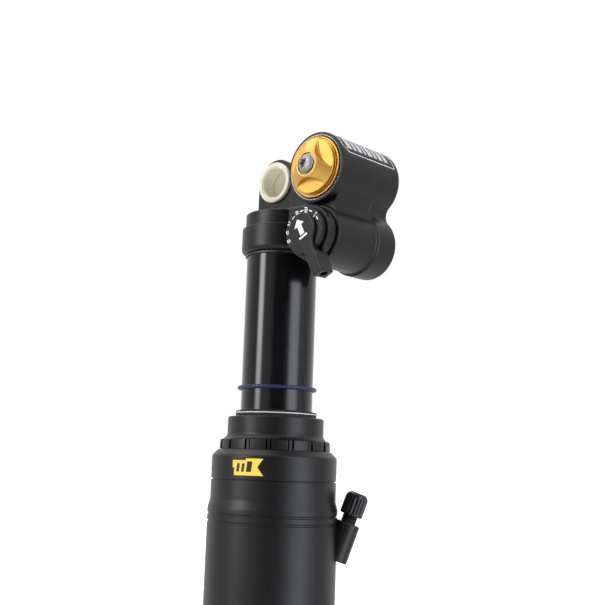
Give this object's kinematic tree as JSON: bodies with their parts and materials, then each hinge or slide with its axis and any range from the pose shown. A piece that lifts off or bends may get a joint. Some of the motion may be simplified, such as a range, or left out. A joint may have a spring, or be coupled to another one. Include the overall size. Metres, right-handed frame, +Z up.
{
  "type": "bicycle rear shock",
  "caption": "Air-sprung bicycle rear shock with a side reservoir, a lever-operated compression adjuster, flanged eye bushes and an air can that slides on a polished tube.",
  "frame": {"origin": "centre of the upper eye bore", "axes": "+Z up along the shock's sliding axis, Y along both eye bores, the reservoir on the +X side and its gold cap facing -Y"},
  "size_m": [0.09, 0.0661, 0.2777],
  "materials": {
    "black_alloy": "fine bead blasted black anodising",
    "gloss_black_tube": "polished hard black coating on the sliding tube",
    "gold_alloy": "gold anodising, machined",
    "bright_steel": "bright steel",
    "dark_metal": "dark machined metal",
    "black_rubber": "black seal rubber",
    "blue_rubber": "blue rubber ring",
    "cream_polymer": "cream bearing polymer",
    "black_plastic": "black moulded plastic",
    "bronze": "bronze with a sliding layer"
  },
  "bodies": {
    "head": {"head_casting": "black_alloy", "upper_bush_front": "cream_polymer", "upper_bush_rear": "cream_polymer", "damper_tube": "gloss_black_tube", "inner_tube": "dark_metal", "collar_ring": "dark_metal", "rod_guide": "dark_metal", "rod_seal": "black_rubber", "air_piston": "dark_metal", "air_piston_seal": "black_rubber", "reservoir_cap": "gold_alloy", "cap_seal": "black_rubber", "cap_bolt": "bright_steel", "compression_cartridge": "dark_metal"},
    "gas_piston": {"floating_piston": "dark_metal", "floating_piston_seal": "black_rubber"},
    "dial_wheel": {"low_speed_wheel": "black_alloy"},
    "lever": {"compression_lever": "black_alloy", "lever_screw": "dark_metal"},
    "compression_valve": {"compression_needle": "bright_steel"},
    "air_can": {"seal_head": "black_alloy", "wiper_seal": "black_rubber", "wiper_ring": "bright_steel", "neck_seal": "black_rubber", "neck_bushing": "bronze", "can_upper": "black_alloy", "can_lower": "black_alloy", "seam_ring": "black_rubber", "base_seal": "black_rubber", "can_base": "black_alloy", "piston_rod": "bright_steel", "main_piston": "dark_metal", "piston_band": "bronze", "piston_nut": "bright_steel", "top_out_bumper": "black_rubber", "bottom_out_bumper": "black_rubber", "lower_bush_front": "cream_polymer", "lower_bush_rear": "cream_polymer", "valve_stem": "bright_steel"},
    "rebound_valve": {"rebound_needle": "bright_steel"},
    "rebound_adjuster": {"rebound_knob": "gold_alloy"},
    "valve_pin": {"valve_core": "bronze"},
    "valve_cover": {"valve_cap": "black_plastic"},
    "marker": {"travel_ring": "blue_rubber"}
  },
  "joints": [
    {"name": "stroke", "type": "slide", "parent": "head", "child": "air_can", "axis": [0, 0, 1], "range_m": [0, 0.075], "stiffness_N_per_m": 4000, "springref_m": -0.01},
    {"name": "travel_marker", "type": "slide", "parent": "head", "child": "marker", "axis": [0, 0, 1], "range_m": [0, 0.0654]},
    {"name": "gas_piston_slide", "type": "slide", "parent": "head", "child": "gas_piston", "axis": [0, -1, 0], "range_m": [0, 0.01425]},
    {"name": "compression_lever_turn", "type": "hinge", "parent": "head", "child": "lever", "pos_m": [0.0404, 0, -0.0346], "axis": [0, 1, 0], "range_deg": [-35, 35]},
    {"name": "compression_needle_slide", "type": "slide", "parent": "head", "child": "compression_valve", "axis": [0, 1, 0], "range_m": [-0.001, 0.001]},
    {"name": "low_speed_turn", "type": "hinge", "parent": "head", "child": "dial_wheel", "pos_m": [0.0404, 0, -0.0346], "axis": [0, 1, 0], "range_deg": [0, 288]},
    {"name": "rebound_turn", "type": "hinge", "parent": "air_can", "child": "rebound_adjuster", "pos_m": [0.0212, 0, -0.2389], "axis": [0, 0, 1], "range_deg": [0, 324]},
    {"name": "rebound_rod_turn", "type": "hinge", "parent": "air_can", "child": "rebound_valve", "pos_m": [0, 0, -0.2365], "axis": [0, 0, 1], "range_deg": [0, 324]},
    {"name": "valve_cap_lift", "type": "slide", "parent": "air_can", "child": "valve_cover", "axis": [0.2396, 0.2204, 0.9455], "range_m": [0, 0.012]},
    {"name": "valve_core_press", "type": "slide", "parent": "air_can", "child": "valve_pin", "axis": [-0.2396, -0.2204, -0.9455], "range_m": [0, 0.0012], "stiffness_N_per_m": 300}
  ],
  "couplings": [
    {"joint": "travel_marker", "follows": "stroke", "ratio": 0.872},
    {"joint": "gas_piston_slide", "follows": "stroke", "ratio": 0.19},
    {"joint": "compression_needle_slide", "follows": "compression_lever_turn", "m_per_rad": 0.001636},
    {"joint": "rebound_rod_turn", "follows": "rebound_turn", "ratio": 1}
  ]
}
